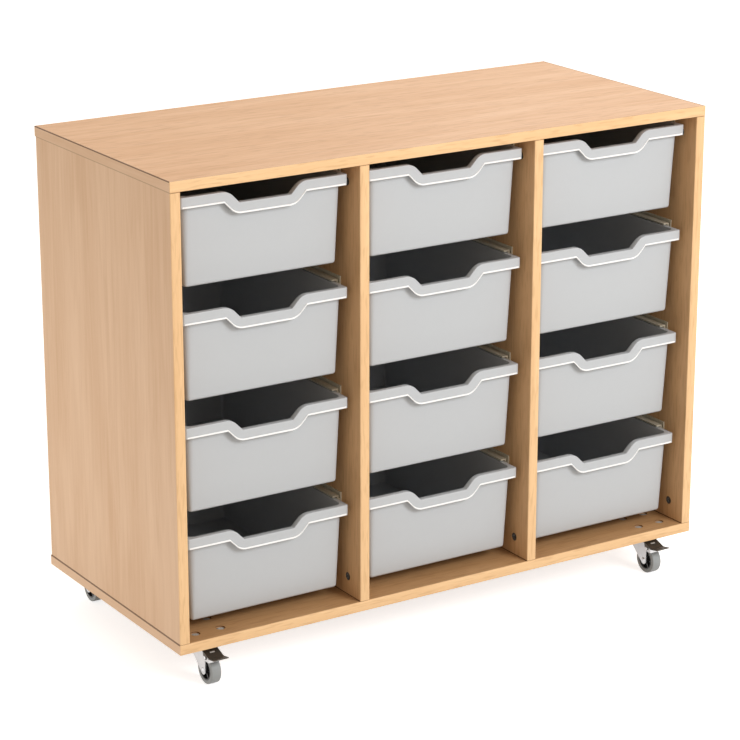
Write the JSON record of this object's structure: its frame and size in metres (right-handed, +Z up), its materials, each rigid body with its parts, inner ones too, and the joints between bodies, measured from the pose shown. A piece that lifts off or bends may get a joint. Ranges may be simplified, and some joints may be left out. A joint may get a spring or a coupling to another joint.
{
  "type": "tray storage unit",
  "caption": "Open-fronted beech-effect board cabinet on swivel castors, with bays of pull-out plastic trays on side runners for storing craft materials and small parts.",
  "frame": {"origin": "on the floor, under the middle of the unit's bounding box", "axes": "+Z up, +Y towards the back panel, so the tray fronts face -Y, +X to the viewer's right from the front"},
  "size_m": [1.0758, 0.5003, 0.881],
  "materials": {
    "beech_board": "satin beech-effect board",
    "beech_edging": "satin beech-effect edging",
    "back_board": "smooth faced hardboard",
    "tray_plastic": "light grey moulded polypropylene",
    "runner_plastic": "natural extruded plastic",
    "zinc_steel": "bright zinc-plated pressed steel",
    "dark_steel": "dark passivated steel",
    "dark_zinc": "dark grey die-cast zinc",
    "bolt_grey": "dull zinc-plated steel",
    "black_plastic": "black moulded polypropylene",
    "grey_tyre": "grey non-marking rubber"
  },
  "bodies": {
    "carcass": {"top_panel": "beech_board", "base_panel": "beech_board", "left_side_panel": "beech_board", "left_divider": "beech_board", "right_divider": "beech_board", "right_side_panel": "beech_board", "back_panel": "back_board", "front_edging": "beech_edging", "cam_locks": "dark_zinc", "cam_bolts": "zinc_steel", "castor_bolts": "bolt_grey", "runner_screws": "zinc_steel", "runners_left_bay_left": "runner_plastic", "runners_left_bay_right": "runner_plastic", "runners_middle_bay_left": "runner_plastic", "runners_middle_bay_right": "runner_plastic", "runners_right_bay_left": "runner_plastic", "runners_right_bay_right": "runner_plastic", "front_left_castor_plate": "dark_steel", "front_left_castor_kingpin": "zinc_steel", "front_right_castor_plate": "dark_steel", "front_right_castor_kingpin": "zinc_steel", "rear_left_castor_plate": "dark_steel", "rear_left_castor_kingpin": "zinc_steel", "rear_right_castor_plate": "dark_steel", "rear_right_castor_kingpin": "zinc_steel"},
    "tray_left_1": {"tray_left_1": "tray_plastic"},
    "tray_left_2": {"tray_left_2": "tray_plastic"},
    "tray_left_3": {"tray_left_3": "tray_plastic"},
    "tray_left_4": {"tray_left_4": "tray_plastic"},
    "tray_middle_1": {"tray_middle_1": "tray_plastic"},
    "tray_middle_2": {"tray_middle_2": "tray_plastic"},
    "tray_middle_3": {"tray_middle_3": "tray_plastic"},
    "tray_middle_4": {"tray_middle_4": "tray_plastic"},
    "tray_right_1": {"tray_right_1": "tray_plastic"},
    "tray_right_2": {"tray_right_2": "tray_plastic"},
    "tray_right_3": {"tray_right_3": "tray_plastic"},
    "tray_right_4": {"tray_right_4": "tray_plastic"},
    "front_left_swivel": {"front_left_castor_fork": "zinc_steel", "front_left_castor_axle": "zinc_steel", "front_left_brake_pin": "zinc_steel"},
    "front_left_wheel": {"front_left_wheel_core": "black_plastic", "front_left_wheel_tyre": "grey_tyre"},
    "front_left_brake": {"front_left_brake_pedal": "dark_steel"},
    "front_right_swivel": {"front_right_castor_fork": "zinc_steel", "front_right_castor_axle": "zinc_steel", "front_right_brake_pin": "zinc_steel"},
    "front_right_wheel": {"front_right_wheel_core": "black_plastic", "front_right_wheel_tyre": "grey_tyre"},
    "front_right_brake": {"front_right_brake_pedal": "dark_steel"},
    "rear_left_swivel": {"rear_left_castor_fork": "zinc_steel", "rear_left_castor_axle": "zinc_steel"},
    "rear_left_wheel": {"rear_left_wheel_core": "black_plastic", "rear_left_wheel_tyre": "grey_tyre"},
    "rear_right_swivel": {"rear_right_castor_fork": "zinc_steel", "rear_right_castor_axle": "zinc_steel"},
    "rear_right_wheel": {"rear_right_wheel_core": "black_plastic", "rear_right_wheel_tyre": "grey_tyre"}
  },
  "joints": [
    {"name": "tray_left_1_slide", "type": "slide", "parent": "carcass", "child": "tray_left_1", "axis": [0, -1, 0], "range_m": [0, 0.35]},
    {"name": "tray_left_2_slide", "type": "slide", "parent": "carcass", "child": "tray_left_2", "axis": [0, -1, 0], "range_m": [0, 0.35]},
    {"name": "tray_left_3_slide", "type": "slide", "parent": "carcass", "child": "tray_left_3", "axis": [0, -1, 0], "range_m": [0, 0.35]},
    {"name": "tray_left_4_slide", "type": "slide", "parent": "carcass", "child": "tray_left_4", "axis": [0, -1, 0], "range_m": [0, 0.35]},
    {"name": "tray_middle_1_slide", "type": "slide", "parent": "carcass", "child": "tray_middle_1", "axis": [0, -1, 0], "range_m": [0, 0.35]},
    {"name": "tray_middle_2_slide", "type": "slide", "parent": "carcass", "child": "tray_middle_2", "axis": [0, -1, 0], "range_m": [0, 0.35]},
    {"name": "tray_middle_3_slide", "type": "slide", "parent": "carcass", "child": "tray_middle_3", "axis": [0, -1, 0], "range_m": [0, 0.35]},
    {"name": "tray_middle_4_slide", "type": "slide", "parent": "carcass", "child": "tray_middle_4", "axis": [0, -1, 0], "range_m": [0, 0.35]},
    {"name": "tray_right_1_slide", "type": "slide", "parent": "carcass", "child": "tray_right_1", "axis": [0, -1, 0], "range_m": [0, 0.35]},
    {"name": "tray_right_2_slide", "type": "slide", "parent": "carcass", "child": "tray_right_2", "axis": [0, -1, 0], "range_m": [0, 0.35]},
    {"name": "tray_right_3_slide", "type": "slide", "parent": "carcass", "child": "tray_right_3", "axis": [0, -1, 0], "range_m": [0, 0.35]},
    {"name": "tray_right_4_slide", "type": "slide", "parent": "carcass", "child": "tray_right_4", "axis": [0, -1, 0], "range_m": [0, 0.35]},
    {"name": "front_left_swivel_turn", "type": "hinge", "parent": "carcass", "child": "front_left_swivel", "pos_m": [-0.4679, -0.181, 0.075], "axis": [0, 0, 1], "continuous": true},
    {"name": "front_left_wheel_roll", "type": "hinge", "parent": "front_left_swivel", "child": "front_left_wheel", "pos_m": [-0.4679, -0.2086, 0.025], "axis": [1, 0, 0], "continuous": true},
    {"name": "front_left_brake_press", "type": "hinge", "parent": "front_left_swivel", "child": "front_left_brake", "pos_m": [-0.4679, -0.218, 0.05171], "axis": [1, 0, 0], "range_deg": [0, 8]},
    {"name": "front_right_swivel_turn", "type": "hinge", "parent": "carcass", "child": "front_right_swivel", "pos_m": [0.4679, -0.181, 0.075], "axis": [0, 0, 1], "continuous": true},
    {"name": "front_right_wheel_roll", "type": "hinge", "parent": "front_right_swivel", "child": "front_right_wheel", "pos_m": [0.4679, -0.2086, 0.025], "axis": [1, 0, 0], "continuous": true},
    {"name": "front_right_brake_press", "type": "hinge", "parent": "front_right_swivel", "child": "front_right_brake", "pos_m": [0.4679, -0.218, 0.05171], "axis": [1, 0, 0], "range_deg": [0, 8]},
    {"name": "rear_left_swivel_turn", "type": "hinge", "parent": "carcass", "child": "rear_left_swivel", "pos_m": [-0.4679, 0.193, 0.075], "axis": [0, 0, 1], "continuous": true},
    {"name": "rear_left_wheel_roll", "type": "hinge", "parent": "rear_left_swivel", "child": "rear_left_wheel", "pos_m": [-0.4679, 0.2206, 0.025], "axis": [1, 0, 0], "continuous": true},
    {"name": "rear_right_swivel_turn", "type": "hinge", "parent": "carcass", "child": "rear_right_swivel", "pos_m": [0.4679, 0.193, 0.075], "axis": [0, 0, 1], "continuous": true},
    {"name": "rear_right_wheel_roll", "type": "hinge", "parent": "rear_right_swivel", "child": "rear_right_wheel", "pos_m": [0.4679, 0.2206, 0.025], "axis": [1, 0, 0], "continuous": true}
  ]
}
